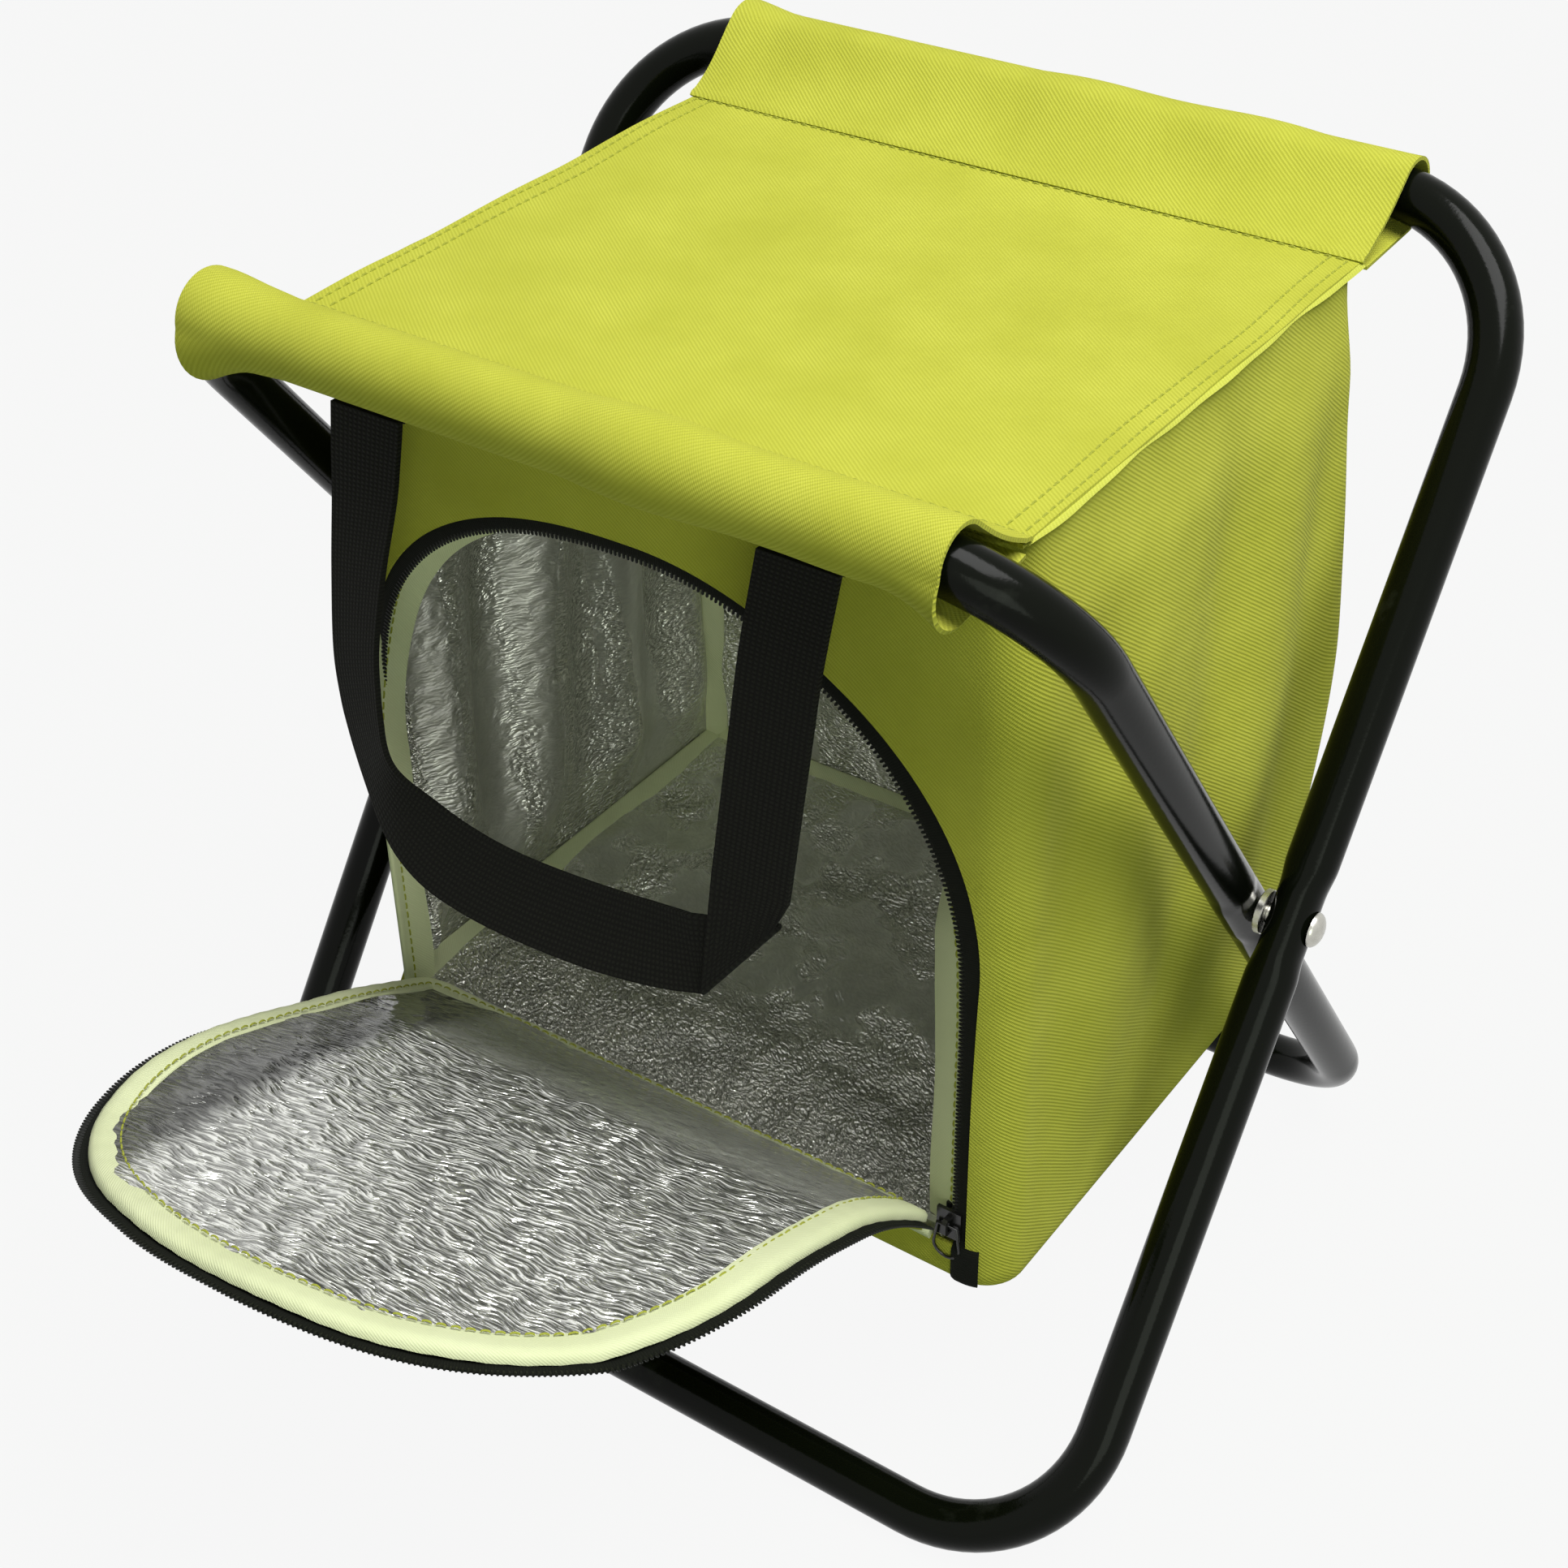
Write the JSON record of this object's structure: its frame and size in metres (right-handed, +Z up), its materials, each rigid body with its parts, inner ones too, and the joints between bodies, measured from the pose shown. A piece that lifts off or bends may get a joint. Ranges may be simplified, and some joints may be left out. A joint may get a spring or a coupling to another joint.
{
  "type": "folding cooler stool",
  "caption": "Folding stool of crossed bent-tube frames with a fabric seat and, under it, an insulated bag with a zipped arched door and webbing handles.",
  "frame": {"origin": "on the floor under the middle of the whole object, with the door let down", "axes": "+X to the right along the bars, +Y to the back, +Z up; the door opens to -Y"},
  "size_m": [0.3468, 0.4178, 0.3655],
  "materials": {
    "tube_enamel": "glossy black enamel on steel tube",
    "bright_steel": "plain zinc-plated steel",
    "lime_cloth": "twill-woven coated polyester in yellow green",
    "foil_lining": "crinkled silver film on thin foam",
    "pale_binding": "thin non-woven edging tape in pale green",
    "zip_black": "black woven tape with moulded teeth",
    "slider_enamel": "black enamel on die-cast metal",
    "webbing": "ribbed black polypropylene webbing"
  },
  "bodies": {
    "outer_frame": {"outer_frame": "tube_enamel", "rivet_left": "bright_steel", "rivet_right": "bright_steel"},
    "inner_frame": {"inner_frame": "tube_enamel"},
    "pivot_washers": {"pivot_washer_left": "bright_steel", "pivot_washer_right": "bright_steel"},
    "bag": {"seat_panel": "lime_cloth", "seat_lining": "foil_lining", "floor_panel": "lime_cloth", "floor_lining": "foil_lining", "side_panel_left": "lime_cloth", "side_panel_right": "lime_cloth", "side_lining_left": "foil_lining", "side_lining_right": "foil_lining"},
    "bag_front": {"front_panel": "lime_cloth", "front_lining": "foil_lining", "opening_zip": "zip_black", "opening_binding": "pale_binding", "door_hinge_piping": "pale_binding", "front_handle_tab_left": "webbing", "front_handle_tab_right": "webbing"},
    "bag_back": {"back_panel": "lime_cloth", "back_lining": "foil_lining", "back_handle_tab_left": "webbing", "back_handle_tab_right": "webbing"},
    "front_sleeve": {"front_sleeve": "lime_cloth"},
    "back_sleeve": {"back_sleeve": "lime_cloth"},
    "door": {"door_panel": "lime_cloth", "door_lining": "foil_lining", "door_zip": "zip_black", "door_binding": "pale_binding"},
    "zip_slider": {"zip_slider": "slider_enamel"},
    "zip_pull": {"zip_pull": "bright_steel"},
    "front_handle": {"front_handle": "webbing"},
    "back_handle": {"back_handle": "webbing"}
  },
  "joints": [
    {"name": "frame_fold", "type": "hinge", "parent": "outer_frame", "child": "inner_frame", "pos_m": [0, 0.07136, 0.18174], "axis": [-1, 0, 0], "range_deg": [0, 66.8], "deforming": ["seat_panel", "seat_lining", "floor_panel", "floor_lining", "side_panel_left", "side_panel_right", "side_lining_left", "side_lining_right"]},
    {"name": "washer_turn", "type": "hinge", "parent": "outer_frame", "child": "pivot_washers", "pos_m": [0, 0.07136, 0.18174], "axis": [-1, 0, 0], "range_deg": [0, 33.4]},
    {"name": "bag_lift", "type": "slide", "parent": "pivot_washers", "child": "bag", "axis": [0, 0, 1], "range_m": [0, 0.0205]},
    {"name": "bag_front_close", "type": "slide", "parent": "bag", "child": "bag_front", "axis": [0, 1, 0], "range_m": [0, 0.0875]},
    {"name": "bag_back_close", "type": "slide", "parent": "bag", "child": "bag_back", "axis": [0, -1, 0], "range_m": [0, 0.0875]},
    {"name": "front_sleeve_turn", "type": "hinge", "parent": "inner_frame", "child": "front_sleeve", "pos_m": [0, -0.05614, 0.35547], "axis": [-1, 0, 0], "range_deg": [0, 36.4]},
    {"name": "back_sleeve_turn", "type": "hinge", "parent": "outer_frame", "child": "back_sleeve", "pos_m": [0, 0.19886, 0.35547], "axis": [1, 0, 0], "range_deg": [0, 36.4]},
    {"name": "door_flap", "type": "hinge", "parent": "bag_front", "child": "door", "pos_m": [0, -0.02654, 0.09797], "axis": [-1, 0, 0], "range_deg": [-50, 66], "deforming": ["front_handle"]},
    {"name": "slider_run", "type": "slide", "parent": "bag_front", "child": "zip_slider", "axis": [0, 0, 1], "range_m": [0, 0.089]},
    {"name": "pull_swing", "type": "hinge", "parent": "zip_slider", "child": "zip_pull", "pos_m": [0.106, -0.02704, 0.10477], "axis": [-1, 0, 0], "range_deg": [0, 160]},
    {"name": "front_handle_swing", "type": "hinge", "parent": "bag_front", "child": "front_handle", "pos_m": [0, -0.05064, 0.33777], "axis": [-1, 0, 0], "range_deg": [-9, 115]},
    {"name": "back_handle_swing", "type": "hinge", "parent": "bag_back", "child": "back_handle", "pos_m": [0, 0.19336, 0.33777], "axis": [1, 0, 0], "range_deg": [-9, 115]}
  ],
  "couplings": [
    {"joint": "washer_turn", "follows": "frame_fold", "ratio": 0.5},
    {"joint": "bag_lift", "follows": "frame_fold", "m_per_rad": 0.01715},
    {"joint": "bag_front_close", "follows": "frame_fold", "m_per_rad": 0.075},
    {"joint": "bag_back_close", "follows": "frame_fold", "m_per_rad": 0.075},
    {"joint": "front_sleeve_turn", "follows": "frame_fold", "ratio": 0.542},
    {"joint": "back_sleeve_turn", "follows": "frame_fold", "ratio": 0.542}
  ]
}
